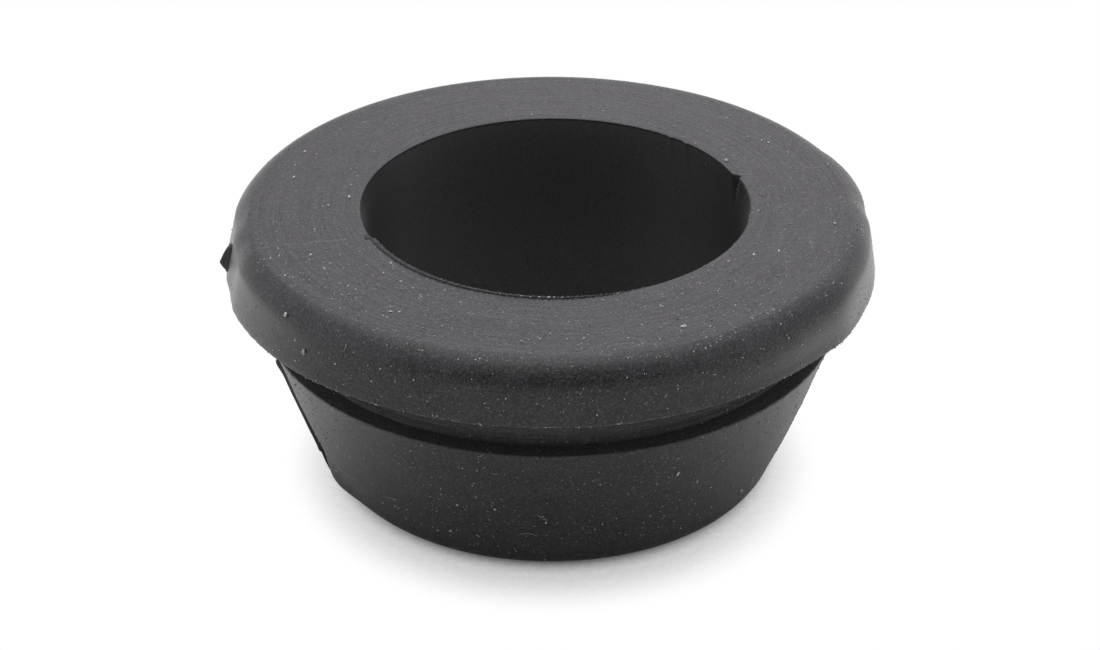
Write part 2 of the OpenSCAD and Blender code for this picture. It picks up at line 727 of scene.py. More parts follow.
@dataclass(frozen=True)
class PaleDust:
    """Crumbs of pale dust, some whiter than others."""

    name: str = "pale_dust"
    dull: Colour = (0.34, 0.33, 0.34, 1.0)
    bright: Colour = (0.88, 0.87, 0.88, 1.0)
    patch_size: float = 1.7
    patch: Band = (0.45, 0.68)
    grain_size: float = 20.0
    pits: float = 0.2
    roughness: float = 0.9

    def make(self) -> Material:
        """Builds the material.

        Returns:
            The material.
        """
        ground = Ground(self.name)
        graph = ground.graph
        tone = graph.between(graph.noise(ground.place, self.patch_size), *self.patch)
        grain = {"Place": ground.place, "Fineness": self.grain_size, "Pits": self.pits}
        fine = ground.use(Effects.grain(), grain)
        bump = graph.out("ShaderNodeBump", {"Height": fine, "Distance": 0.01 * MM, "Strength": 1.0})
        colour = graph.blend_colour(tone, self.dull, self.bright)
        inputs = {"Base Color": colour, "Roughness": self.roughness, "Normal": bump}
        return ground.close(graph.out("ShaderNodeBsdfPrincipled", inputs))


@dataclass(frozen=True)
class LintFibre:
    """Pale textile fibre."""

    name: str = "pale_lint"
    dull: Colour = (0.42, 0.41, 0.41, 1.0)
    bright: Colour = (0.80, 0.79, 0.80, 1.0)
    patch_size: float = 3.0
    patch: Band = (0.35, 0.65)
    roughness: float = 0.8

    def make(self) -> Material:
        """Builds the material.

        Returns:
            The material.
        """
        ground = Ground(self.name)
        graph = ground.graph
        tone = graph.between(graph.noise(ground.place, self.patch_size), *self.patch)
        colour = graph.blend_colour(tone, self.dull, self.bright)
        inputs = {"Base Color": colour, "Roughness": self.roughness}
        return ground.close(graph.out("ShaderNodeBsdfPrincipled", inputs))


# ------------------------------------------------------------------------------------------------- the body


@dataclass(frozen=True)
class Section:
    """The sizes of the grommet's section, as radii from the bore's axis and heights above the foot."""

    bore_r: float
    flange_r: float
    top: float
    foot_wall: float = 2.4 * MM
    neck_wall: float = 5.2 * MM
    barb_reach: float = 1.3 * MM
    barb_top: float = 11.4 * MM
    flange_thick: float = 4.0 * MM
    flange_round: float = 1.6 * MM
    foot_round: float = 1.9 * MM
    flange_draft: float = 0.8 * MM

    @classmethod
    def from_frame(cls) -> Section:
        """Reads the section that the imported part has.

        Returns:
            The section.
        """
        bore = next(m for m in frame["record"]["mounts"] if m["name"] == "bore")
        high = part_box(NODE)[1]
        return cls(bore_r=bore["dims"]["r_mm"] * MM, flange_r=high.y, top=high.z)

    @property
    def neck_r(self) -> float:
        """The groove's radius."""
        return self.bore_r + self.neck_wall

    @property
    def foot_r(self) -> float:
        """The foot's radius, as if its edge weren't rounded."""
        return self.bore_r + self.foot_wall

    @property
    def barb_r(self) -> float:
        """The radius of the barb's top edge."""
        return self.neck_r + self.barb_reach

    @property
    def groove_top(self) -> float:
        """The height of the flange's underside."""
        return self.top - self.flange_thick

    def side_radius(self, height: float) -> float:
        """Finds the outer radius, as if no edge were rounded.

        Args:
            height: height above the foot.

        Returns:
            The radius there.
        """
        if height <= self.barb_top:
            return self.foot_r + (self.barb_r - self.foot_r) * height / self.barb_top
        if height < self.groove_top:
            return self.neck_r
        return self.flange_r - self.flange_draft * (height - self.groove_top) / self.flange_thick


UP = Vector((0, 0, 1))


def polar(radius: float, azimuth: float, height: float) -> Vector:
    """Returns the point at a radius, an azimuth in degrees and a height."""
    a = math.radians(azimuth)
    return Vector((radius * math.cos(a), radius * math.sin(a), height))


@dataclass(frozen=True)
class Seam:
    """The line on the top face where the mould halves met, which isn't quite true."""

    lean: float = -0.067
    left: float = -2.70 * MM
    right: float = 1.20 * MM
    change: float = 2.0 * MM

    def at(self, x: np.ndarray) -> np.ndarray:
        """Returns the seam's y at each x."""
        share = smooth(-self.change, self.change, x)
        return self.lean * x + self.left + (self.right - self.left) * share


@dataclass(frozen=True)
class Lump:
    """A place where the flange's side stands proud, or short, of its circle."""

    azimuth: float
    spread: float
    rise: float


@dataclass
class GrommetBody:
    """The moulded body: a closed section revolved round the bore."""

    section: Section
    seam: Seam = Seam()
    segments: int = 600
    row: float = 0.34 * MM
    edge_round: float = 0.07 * MM
    bore_shift: Band = (0.27 * MM, -0.07 * MM)
    lip_shift: Band = (-0.07 * MM, 0.03 * MM)
    half_step: float = 0.26 * MM
    front_tuck: float = 0.36 * MM
    lip_wave: float = 0.018 * MM
    lip_burr: float = 0.013 * MM
    barb_burr: float = 0.018 * MM
    sag: float = 0.03 * MM
    lip_droop: float = 1.4
    crown_tuck: float = 0.12 * MM
    belly: float = 0.12 * MM
    slack: float = 0.01 * MM
    front_share: Band = (0.35, 0.95)
    bore_fade: Band = (0.2 * MM, 4.5 * MM)
    bore_depth: float = 0.6
    lip_fade: Band = (0.0, 2.4 * MM)
    side_band: Band = (-1.3 * MM, -0.2 * MM)
    edge_fade: Band = (0.0, 0.5 * MM)
    edge_band: Band = (-0.6 * MM, -0.1 * MM)
    barb_band: Band = (-0.5 * MM, -0.05 * MM)
    tight_fade: Band = (0.1 * MM, 1.2 * MM)
    tight_from: float = 0.965
    crown_band: Band = (-1.5 * MM, -0.5 * MM)
    belly_wall: Band = (1.5 * MM, 2.0 * MM)
    belly_rise: Band = (1.5 * MM, 4.5 * MM)
    belly_fall: Band = (6.5 * MM, 10.0 * MM)
    foot_fade: Band = (0.6 * MM, 3.6 * MM)
    foot_band: Band = (0.3 * MM, 1.2 * MM)
    foot_lumps: tuple[Lump, ...] = (
        Lump(-104.0, 45.0, -0.12 * MM),
        Lump(-172.0, 8.0, 0.46 * MM),
        Lump(188.0, 8.0, 0.46 * MM),
    )
    lumps: tuple[Lump, ...] = (
        Lump(5.8, 1.6, 0.05 * MM),
        Lump(2.0, 4.6, 0.17 * MM),
        Lump(-12.8, 3.8, -0.17 * MM),
        Lump(169.0, 5.5, -0.24 * MM),
        Lump(179.0, 4.5, -0.24 * MM),
        Lump(-181.0, 4.5, -0.24 * MM),
        Lump(-4.0, 6.0, 0.15 * MM),
        Lump(-22.0, 5.0, -0.08 * MM),
        Lump(-46.0, 7.0, 0.20 * MM),
    )
    nicks: tuple[Lump, ...] = (
        Lump(1.7, 1.0, 0.34 * MM),
        Lump(28.7, 0.8, -0.14 * MM),
        Lump(34.9, 0.9, -0.12 * MM),
    )

    def build(self, material: Material) -> Object:
        """Builds the body.

        Args:
            material: its finish.

        Returns:
            The body as a plain mesh.
        """
        s = self.section
        holder = plain_object("moulded_body", [])
        values = {
            "Bore radius": s.bore_r,
            "Foot radius": s.foot_r,
            "Barb radius": s.barb_r,
            "Neck radius": s.neck_r,
            "Flange radius": s.side_radius(s.top),
            "Lip radius": s.flange_r,
            "Barb top": s.barb_top,
            "Groove top": s.groove_top,
            "Top": s.top,
            "Flange rounding": s.flange_round,
            "Foot rounding": s.foot_round,
            "Edge rounding": self.edge_round,
            "Row length": self.row,
            "Segments": self.segments,
            "Material": material,
        }
        made = run_tree(holder, self.tree(), values)
        face_outwards(made.data)
        worn = self.worn(points_of(made.data))
        made.data.vertices.foreach_set("co", worn.ravel())
        made.data.update()
        return made

    def tree(self) -> Tree:
        """Builds the geometry tree that rounds the section's corners, divides it into rows and revolves it.

        Returns:
            The tree.
        """
        radii = [f"{label} radius" for label in ("Bore", "Foot", "Barb", "Neck", "Flange", "Lip")]
        takes = dict.fromkeys(radii + ["Barb top", "Groove top", "Top"], (FLOAT, 0.01))
        takes |= dict.fromkeys(("Flange rounding", "Foot rounding", "Edge rounding", "Row length"), (FLOAT, 0.001))
        graph = Graph.solid("Revolved section", takes | {"Segments": (INTEGER, 64)})
        given = graph.start()
        curve = self._rows(graph, given, self._corners(graph, given))
        circle = {"Resolution": given["Segments"], "Radius": given["Bore radius"]}
        path = graph.out("GeometryNodeCurvePrimitiveCircle", circle)
        solid = graph.out("GeometryNodeCurveToMesh", {"Curve": path, "Profile Curve": curve})
        solid = graph.out("GeometryNodeSetShadeSmooth", {"Geometry": solid})
        return graph.finish_solid(solid, given["Material"])

    @staticmethod
    def _corners(graph: Graph, given: Given) -> Socket:
        """Builds the closed section with its corners rounded.

        Args:
            graph: the tree.
            given: the tree's inputs.

        Returns:
            The section as a curve, drawn with the bore's wall on zero and heights running down.
        """
        corners = [
            ("Bore radius", None, "Edge rounding", 3),
            ("Foot radius", None, "Foot rounding", 9),
            ("Barb radius", "Barb top", "Edge rounding", 3),
            ("Neck radius", "Barb top", "Edge rounding", 2),
            ("Neck radius", "Groove top", "Edge rounding", 2),
            ("Lip radius", "Groove top", "Edge rounding", 3),
            ("Flange radius", "Top", "Flange rounding", 10),
            ("Bore radius", "Top", "Edge rounding", 4),
        ]
        spots = []
        for radius, height, _, _ in corners:
            out = graph.math("SUBTRACT", given[radius], given["Bore radius"])
            spots.append(graph.xyz(out, graph.times(given[height], -1.0) if height else 0.0))
        index = graph.out("GeometryNodeInputIndex")
        line = graph.out("GeometryNodeMeshLine", {"Count": len(corners)})
        place = graph.pick("VECTOR", index, spots)
        line = graph.out("GeometryNodeSetPosition", {"Geometry": line, "Position": place})
        curve = graph.out("GeometryNodeMeshToCurve", {"Mesh": line})
        curve = graph.out("GeometryNodeSetSplineCyclic", {"Geometry": curve, "Cyclic": True})
        rounding = graph.pick("FLOAT", index, [given[label] for _, _, label, _ in corners])
        steps = graph.pick("INT", index, [count for _, _, _, count in corners])
        rounded = {"Curve": curve, "Radius": rounding, "Count": steps}
        return graph.out("GeometryNodeFilletCurve", rounded, mode="POLY")

    @staticmethod
    def _rows(graph: Graph, given: Given, curve: Socket) -> Socket:
        """Divides the section into rows of about one length, with longer ones down the bore.

        Args:
            graph: the tree.
            given: the tree's inputs.
            curve: the rounded section.

        Returns:
            The divided section.
        """
        here = graph.out("GeometryNodeInputPosition")
        following = graph.plus(graph.out("GeometryNodeInputIndex"), 1.0)
        count = graph.node("GeometryNodeAttributeDomainSize", {0: curve}, component="CURVE").outputs[0]
        following = graph.math("MODULO", following, count)
        ahead = graph.out("GeometryNodeFieldAtIndex", {"Index": following, "Value": here}, data_type="FLOAT_VECTOR")
        gap = graph.node("ShaderNodeVectorMath", {0: here, 1: ahead}, operation="DISTANCE").outputs["Value"]
        out_here, out_ahead = (graph.out("ShaderNodeSeparateXYZ", {0: spot}) for spot in (here, ahead))
        in_bore = graph.math("LESS_THAN", graph.plus(out_here, out_ahead), 1e-6)
        row = graph.times(given["Row length"], graph.times_plus(in_bore, 3.0, 1.0))
        cuts = graph.math("FLOOR", graph.math("DIVIDE", gap, row))
        return graph.out("GeometryNodeSubdivideCurve", {"Curve": curve, "Cuts": cuts})

    def worn(self, points: np.ndarray) -> np.ndarray:
        """Moves points of the true shape to where the mould's faults leave them.

        Args:
            points: points on or near the true surface, as three columns.

        Returns:
            The moved points.
        """
        s = self.section
        x, y, z = points.T
        radius = np.hypot(x, y)
        azimuth = np.degrees(np.arctan2(y, x))
        out = np.stack([x, y], 1) / radius[:, None]
        moved = points.copy()
        front = smooth(*self.front_share, -out[:, 1])
        inside = (1 - smooth_from(s.bore_r, self.bore_fade, radius)) * smooth(0.0, self.bore_depth * s.top, z)
        in_flange = z > s.groove_top - self.slack
        lip = in_flange * (1 - smooth_from(s.groove_top, self.lip_fade, z)) * smooth(s.neck_r, s.flange_r, radius)
        side = in_flange * smooth_from(s.side_radius(s.top), self.side_band, radius)
        edge = in_flange * (1 - smooth_from(s.groove_top, self.edge_fade, z))
        edge = edge * smooth_from(s.flange_r, self.edge_band, radius)
        barb = smooth_from(s.barb_top, self.barb_band, z) * (z < s.barb_top + self.slack)
        barb = barb * smooth_from(s.barb_r, self.edge_band, radius)
        shift_x = inside * self.bore_shift[0] + lip * self.lip_shift[0]
        shift_y = inside * self.bore_shift[1] + lip * self.lip_shift[1]
        tight = (1 - smooth_from(s.bore_r, self.tight_fade, radius)) * smooth(self.tight_from * s.top, s.top, z)
        in_front = np.where(y < self.seam.at(x), 0.5, -0.5)
        shift_x = shift_x + tight * self.half_step * in_front * np.abs(out[:, 0])
        grow = self._with_lumps(-lip * front * self.front_tuck, side, self.lumps, azimuth)
        grow = grow - side * self.crown_tuck * smooth_from(s.top, self.crown_band, z)
        middle = smooth(*self.belly_rise, z) * (1 - smooth(*self.belly_fall, z))
        grow = grow + self.belly * smooth_from(s.bore_r, self.belly_wall, radius) * middle
        foot = (1 - smooth(*self.foot_fade, z)) * smooth_from(s.bore_r, self.foot_band, radius)
        grow = self._with_lumps(grow, foot, self.foot_lumps, azimuth)
        grow = self._with_lumps(grow, tight, self.nicks, azimuth)
        waves = np.array([self._waves(*p) for p in points / MM])
        grow = grow + side * lip * self.lip_wave * waves[:, 0] + edge * self.lip_burr * waves[:, 1]
        grow = grow + barb * self.barb_burr * waves[:, 1] + self.sag * waves[:, 2]
        moved[:, 0] += shift_x + grow * out[:, 0]
        moved[:, 1] += shift_y + grow * out[:, 1]
        moved[:, 2] += edge * self.lip_burr * waves[:, 3] * self.lip_droop
        return moved

    @staticmethod
    def _with_lumps(grow: np.ndarray, where: np.ndarray, lumps: tuple[Lump, ...], azimuth: np.ndarray) -> np.ndarray:
        """Adds lumps to how far each point stands out.

        Args:
            grow: how far the points stand out so far.
            where: a mask of the points that the lumps may move.
            lumps: the lumps.
            azimuth: each point's azimuth, in degrees.

        Returns:
            How far the points stand out with the lumps.
        """
        for lump in lumps:
            grow = grow + where * lump.rise * np.exp(-(((azimuth - lump.azimuth) / lump.spread) ** 2))
        return grow

    @staticmethod
    def _waves(x: float, y: float, z: float) -> tuple[float, float, float, float]:
        """Reads the noises that wear the shape.

        Args:
            x: place across, in millimetres.
            y: place along, in millimetres.
            z: height, in millimetres.

        Returns:
            Slow waves, a fine burr, a slow sag and a second burr.
        """
        return (
            2.0 * unit_noise(x * 0.35, y * 0.35, z * 0.35),
            2.0 * unit_noise(x * 2.3, y * 2.3, z * 2.3 + 40.0),
            1.5 * unit_noise(x * 0.11, y * 0.11, z * 0.11 + 80.0),
            2.0 * unit_noise(x * 1.9, y * 1.9, z * 1.9 + 120.0),
        )

    def surface(self, azimuth: float, height: float, radius: float | None = None, lift: float = 0.0) -> Vector:
        """Returns a point on the worn surface.

        Args:
            azimuth: degrees round the bore.
            height: height above the foot.
            radius: the radius, where it isn't that of the outside.
            lift: how far off the surface, outwards on the side and upwards on the top.

        Returns:
            The point.
        """
        true = polar(radius or self.section.side_radius(height), azimuth, height)
        moved = Vector(self.worn(np.array([true]))[0])
        return moved + (Vector((0, 0, lift)) if radius else polar(lift, azimuth, 0))


# ------------------------------------------------------------------------------------------------ the flash


@dataclass
class MouldFlash:
    """The thin rubber that squeezed out where the mould's parts met."""

    body: GrommetBody
    azimuth: float = 180.0
    step: float = 0.2 * MM
    root: float = 0.5 * MM
    fin_low: float = 0.06 * MM
    fin_high: float = 9.75 * MM
    fin_reach: float = 0.25 * MM
    fin_swell: float = 0.20 * MM
    fin_thick: float = 0.30 * MM
    swell_band: Band = (0.5 * MM, 6.5 * MM)
    top_end: float = 0.5 * MM
    foot_end: float = 0.3 * MM
    foot_least: float = 0.75
    head_swell: float = 0.45
    head_band: Band = (8.3 * MM, 9.4 * MM)
    blade_wander: float = 0.04 * MM
    nub_turn: float = 7.0
    nub_reach: float = 0.51 * MM
    nub_thick: float = 0.32 * MM
    nub_low: float = 0.58 * MM
    nub_high: float = 2.32 * MM
    nub_tip: float = 1.17 * MM
    nub_root: float = 0.6 * MM
    nub_steps: int = 18
    lip_from: float = -175.0
    lip_to: float = -80.0
    lip_width: float = 0.36 * MM
    lip_rise: float = 0.085 * MM
    lip_steps: int = 560
    lip_starts: Band = (0.0, 0.02)
    lip_ends: Band = (0.80, 1.0)
    lip_swells: Band = (-0.25, 0.30)
    lip_narrows: float = 0.62
    lip_uneven: Band = (0.30, 0.85)
    lip_jag: Band = (0.11, 0.055)
    lip_inset: float = 0.02 * MM
    lip_root: float = 0.30 * MM

    def blade(self, height: float, surface: float, reach: float, thick: float, root: float) -> list[Vector]:
        """Returns the ring of a thin blade that stands off the body's left side, flared at its root.

        Args:
            height: the ring's height.
            surface: the body's radius there.
            reach: how far the blade stands off.
            thick: its thickness.
            root: how far it sinks into the body.

        Returns:
            Ten points, all level.
        """
        half = thick / 2
        lean = self.blade_wander * unit_noise(height / MM * 0.5, 9.0)
        profile = [
            (-root, 1.9),
            (0.02 * MM, 1.75),
            (0.20 * reach, 1.05),
            (0.55 * reach, 0.85),
            (0.95 * reach, 0.45),
        ]
        near = [Vector((-surface - out, half * wide + lean, height)) for out, wide in profile]
        far = [Vector((-surface - out, -half * wide + lean, height)) for out, wide in reversed(profile)]
        return near + far

    def fin(self) -> Object:
        """Builds the fin down the barb's left side, from below the flange to the foot.

        Returns:
            The fin.
        """
        count = round((self.fin_high - self.fin_low) / self.step)
        rings = []
        for k in range(count + 1):
            height = self.fin_low + (self.fin_high - self.fin_low) * k / count
            swell = self.fin_swell * (1 - float(smooth(*self.swell_band, height)))
            top_end = min(1.0, (self.fin_high - height) / self.top_end)
            foot_end = min(1.0, (height - self.fin_low) / self.foot_end)
            ends = self.foot_least + (1 - self.foot_least) * foot_end
            ends *= math.sqrt(max(0.0, top_end * (2 - top_end)))
            ends *= 1 + self.head_swell * float(smooth(*self.head_band, height))
            rough = 1 + 0.08 * unit_noise(height / MM * 0.6) + 0.02 * unit_noise(height / MM * 3.0, 3.0)
            reach = max(0.01 * MM, (self.fin_reach + swell) * ends * rough)
            root = self.root + self._rounded_away(height)
            rings.append(self.blade(height, self._outside(height), reach, self.fin_thick, root))
        return loft("seam_fin", rings)

    def _outside(self, height: float) -> float:
        """Finds the body's radius under the fin, worn above the foot's rounding.

        Args:
            height: height above the foot.

        Returns:
            The radius there.
        """
        s = self.body.section
        if height <= s.foot_round:
            return s.side_radius(height)
        worn = self.body.surface(self.azimuth, height)
        return math.hypot(worn.x, worn.y)

    def _rounded_away(self, height: float) -> float:
        """Returns how far the foot's rounding stands inside the taper at a height, or a little more."""
        return 0.6 * max(0.0, self.body.section.foot_round - height)

    def nub(self) -> Object:
        """Builds the nub on the flange's left side: a small claw whose tip hangs below its middle.

        Returns:
            The nub.
        """
        s = self.body.section
        bottom, top, tip = (s.groove_top + rise for rise in (self.nub_low, self.nub_high, self.nub_tip))
        turn = Matrix.Rotation(math.radians(-self.nub_turn), 4, "Z")
        rings = []
        for k in range(self.nub_steps + 1):
            height = bottom + (top - bottom) * k / self.nub_steps
            below = height < tip
            share = (height - bottom) / (tip - bottom) if below else (top - height) / (top - tip)
            reach = self.nub_reach * max(0.02, share ** (0.8 if below else 0.62))
            ring = self.blade(height, s.side_radius(height), reach, self.nub_thick, self.nub_root)
            rings.append([turn @ point for point in ring])
        return loft("seam_nub", rings)

    def bore_lip(self) -> Object:
        """Builds the crescent of flash that stands up round the bore's front-left edge.

        Returns:
            The lip.
        """
        s = self.body.section
        rings = []
        for k in range(self.lip_steps + 1):
            share = k / self.lip_steps
            azimuth = self.lip_from + (self.lip_to - self.lip_from) * share
            ends = float(smooth(*self.lip_starts, share)) * float(1 - smooth(*self.lip_ends, share))
            width = self.lip_width * (1 - self.lip_narrows * share) * (0.4 + 0.6 * ends)
            slow, quick = self.lip_uneven
            uneven = 1 + slow * unit_noise(azimuth * 0.5) + quick * unit_noise(azimuth * 1.7, 7.0)
            rise = self.lip_rise * (0.1 + 0.9 * ends) * float(smooth(*self.lip_swells, share)) * uneven
            slow, quick = self.lip_jag
            jag = (slow * unit_noise(azimuth * 1.3, 5.0) + quick * unit_noise(azimuth * 3.1, 15.0)) * MM
            inner = self.body.surface(azimuth, s.top, radius=s.bore_r + self.lip_inset)
            out = Vector((inner.x, inner.y, 0)).normalized()
            base = Vector((inner.x, inner.y, s.top))
            profile = [
                (self.lip_inset, -self.lip_root),
                (-self.lip_inset - jag, rise * 0.5),
                (0.04 * MM - jag, rise * 0.95),
                (width * 0.5, rise * 0.8),
                (width - 0.03 * MM + jag, rise),
                (width + jag, -0.01 * MM),
                (width, -self.lip_root),
            ]
            rings.append([base + out * away + UP * up for away, up in profile])
        return loft("bore_edge_flash", rings)

    def build(self, material: Material) -> list[Object]:
        """Builds every piece of flash.

        Args:
            material: their finish.

        Returns:
            The pieces.
        """
        made = [self.fin(), self.nub(), self.bore_lip()]
        for piece in made:
            piece.data.materials.append(material)
        return made


# ------------------------------------------------------------------------------------------- dust and lint


def crumb_tree() -> Tree:
    """Builds the tree that scatters crumbs over a mesh, more where its "dust" attribute is higher.

    Returns:
        The tree.
    """
    takes = {
        "Density": (FLOAT, 1.0),
        "Smallest": (FLOAT, 0.00002),
        "Largest": (FLOAT, 0.0001),
        "Rarity": (FLOAT, 5.0),
        "Seed": (INTEGER, 1),
    }
    graph = Graph.solid("Scattered crumbs", takes)
    given = graph.start()
    seed = given["Seed"]
    share = graph.out("GeometryNodeInputNamedAttribute", {"Name": "dust"}, data_type="FLOAT")
    scatter = {"Mesh": given["Geometry"], "Density": graph.times(share, given["Density"]), "Seed": seed}
    spread = graph.out("GeometryNodeDistributePointsOnFaces", scatter, distribute_method="RANDOM")
    chance = graph.node("FunctionNodeRandomValue", {"Seed": graph.plus(seed, 1.0)}, data_type="FLOAT").outputs[1]
    rare = graph.math("POWER", chance, given["Rarity"])
    size = graph.times_plus(rare, graph.math("SUBTRACT", given["Largest"], given["Smallest"]), given["Smallest"])
    squash = graph.random_vector((0.6, 0.6, 0.5), (1.5, 1.2, 1.0), graph.plus(seed, 2.0))
    crumb = graph.out("GeometryNodeMeshUVSphere", {"Radius": 1.0, "Segments": 4, "Rings": 2})
    placed = graph.strewn(spread, crumb, squash, size, graph.plus(seed, 3.0))
    return graph.finish_solid(placed, given["Material"])


def bead_tree() -> Tree:
    """Builds the tree that strings crumbs along a line of points, sized by its "bead" attribute.

    Returns:
        The tree.
    """
    graph = Graph.solid("Strung beads", {"Seed": (INTEGER, 1)})
    given = graph.start()
    size = graph.out("GeometryNodeInputNamedAttribute", {"Name": "bead"}, data_type="FLOAT")
    squash = graph.random_vector((0.5, 0.5, 0.5), (1.5, 1.5, 1.0), given["Seed"])
    crumb = graph.out("GeometryNodeMeshIcoSphere", {"Radius": 1.0, "Subdivisions": 1})
    placed = graph.strewn(given["Geometry"], crumb, squash, size, graph.plus(given["Seed"], 1.0))
    return graph.finish_solid(placed, given["Material"])


def fibre_tree() -> Tree:
    """Builds the tree that gives lines of points a round, tapered thread.

    Returns:
        The tree.
    """
    graph = Graph.solid("Lint threads", {"Radius": (FLOAT, 0.00001), "Sides": (INTEGER, 5)})
    given = graph.start()
    curve = graph.out("GeometryNodeMeshToCurve", {"Mesh": given["Geometry"]})
    circle = {"Resolution": given["Sides"], "Radius": given["Radius"]}
    ring = graph.out("GeometryNodeCurvePrimitiveCircle", circle)
    along = graph.node("GeometryNodeSplineParameter").outputs["Factor"]
    width = graph.between(graph.math("ABSOLUTE", graph.times_plus(along, 2.0, -1.0)), 0.7, 1.0, (1.0, 0.4))
    drawn = {"Curve": curve, "Profile Curve": ring, "Scale": width, "Fill Caps": True}
    thread = graph.out("GeometryNodeSetShadeSmooth", {"Geometry": graph.out("GeometryNodeCurveToMesh", drawn)})
    return graph.finish_solid(thread, given["Material"])


@dataclass(frozen=True)
class Crumb:
    """One crumb at a chosen place: on the side at a height, or on the top face at a radius, in millimetres."""

    azimuth: float
    size: float
    height: float | None = None
    radius: float | None = None
    slant: float = 0.0
    lift: float = 0.0


@dataclass
class Dust:
    """Pale dust that has settled on the rubber and caught along its edges."""

    body: GrommetBody
    density: float = 8.4 / MM**2
    smallest: float = 0.015 * MM
    largest: float = 0.078 * MM
    rarity: float = 4.6
    seed: int = 7
    on_top: Band = (0.45, 2.25)
    on_side: Band = (0.25, 0.65)
    on_barb: float = 0.75
    on_neck: float = 0.5
    lip_span: Band = (-176.0, -6.0)
    lip_step: Band = (0.08, 0.42)
    lip_lift: Band = (-0.03, 0.01)
    lip_grains: tuple[float, float, float] = (0.013, 0.026, 0.045)
    grains: tuple[float, ...] = (-0.9, -0.4, 0.0, 0.5, 0.9)
    clear_left: Band = (-160.0, -146.0)
    clear_right: Band = (-46.0, -36.0)
    crumbs: tuple[Crumb, ...] = (
        Crumb(-149.9, 0.125, height=16.37, slant=80),
        Crumb(-156.0, 0.120, height=17.9, slant=70),
        Crumb(-142.8, 0.050, height=16.57),
        Crumb(-79.4, 0.120, radius=18.1, slant=-10),
        Crumb(-169.4, 0.085, radius=16.84, slant=-60),
        Crumb(-171.4, 0.065, radius=19.3),
        Crumb(-164.2, 0.070, radius=19.3),
        Crumb(-153.1, 0.060, radius=16.87),
        Crumb(-150.8, 0.050, radius=16.81),
        Crumb(-151.0, 0.060, radius=18.6),
        Crumb(-139.1, 0.085, radius=17.41, slant=10),
        Crumb(-137.6, 0.060, radius=17.15),
        Crumb(-146.6, 0.070, radius=14.32, slant=50),
        Crumb(-156.1, 0.080, radius=13.35),
        Crumb(-45.6, 0.090, radius=14.6, slant=20),
        Crumb(-40.8, 0.080, radius=15.9),
        Crumb(-52.3, 0.070, radius=13.6),
        Crumb(-25.0, 0.080, radius=18.6),
        Crumb(12.0, 0.110, radius=13.2),
        Crumb(15.0, 0.090, radius=17.4),
        Crumb(153.4, 0.110, radius=17.6),
        Crumb(141.2, 0.090, radius=18.4),
        Crumb(162.3, 0.100, radius=13.6),
        Crumb(167.2, 0.090, radius=14.8),
        Crumb(-79.7, 0.115, height=8.34, slant=60),
        Crumb(-80.7, 0.060, height=9.82, slant=5),
        Crumb(-58.0, 0.060, height=9.68),
        Crumb(-55.6, 0.075, height=3.03),
        Crumb(-74.3, 0.050, height=6.83),
        Crumb(-69.5, 0.060, height=5.66),
        Crumb(-128.6, 0.060, height=2.89),
        Crumb(-116.9, 0.060, height=6.06),
        Crumb(-125.1, 0.060, height=5.89),
        Crumb(-132.2, 0.050, height=2.51),
        Crumb(-150.4, 0.070, height=11.2),
        Crumb(-120.9, 0.035, radius=12.92, lift=0.06),
        Crumb(-114.8, 0.040, radius=12.90, lift=0.08),
        Crumb(-112.4, 0.035, radius=12.92, lift=0.08),
        Crumb(-109.9, 0.045, radius=12.90, lift=0.08),
        Crumb(-107.3, 0.060, radius=12.90, slant=40, lift=0.09),
        Crumb(-105.9, 0.040, radius=12.88, lift=0.08),
        Crumb(-103.6, 0.035, radius=12.90, lift=0.08),
        Crumb(-88.2, 0.045, radius=12.90, slant=30, lift=0.04),
    )

    def scattered(self, base: Object, material: Material) -> Object:
        """Builds the settled dust.

        Args:
            base: the body that it lies on.
            material: its finish.

        Returns:
            The dust as one mesh.
        """
        holder = bpy.data.objects.new("settled_dust", base.data.copy())
        bpy.context.scene.collection.objects.link(holder)
        weight = holder.data.attributes.new("dust", "FLOAT", "POINT")
        weight.data.foreach_set("value", self.weights(points_of(base.data)).astype(np.float32))
        values = {
            "Density": self.density,
            "Smallest": self.smallest,
            "Largest": self.largest,
            "Rarity": self.rarity,
            "Seed": self.seed,
            "Material": material,
        }
        return run_tree(holder, crumb_tree(), values)

    def weights(self, points: np.ndarray) -> np.ndarray:
        """Returns how thickly dust lies at each point: most on the front of the top face, least in the bore.

        Args:
            points: the body's vertices.

        Returns:
            A share for each point.
        """
        s = self.body.section
        x, y, z = points.T
        radius = np.hypot(x, y)
        front = smooth(-0.4, 0.8, -y / radius)
        top = smooth(s.top - 0.6 * MM, s.top - 0.1 * MM, z) * smooth(s.bore_r, s.bore_r + 0.4 * MM, radius)
        side = smooth_from(s.groove_top, (0.0, 0.2 * MM), z) * smooth_from(s.flange_r, (-1 * MM, -0.3 * MM), radius)
        barb = (z < s.barb_top) * smooth_from(s.bore_r, (2 * MM, 3 * MM), radius) * smooth(0.4 * MM, 2 * MM, z)
        neck = (z > s.barb_top) * (z < s.groove_top) * smooth_from(s.bore_r, (3 * MM, 4 * MM), radius)
        top, side = (
            where * (least + more * front) for where, (least, more) in ((top, self.on_top), (side, self.on_side))
        )
        return top + side + barb * self.on_barb + neck * self.on_neck

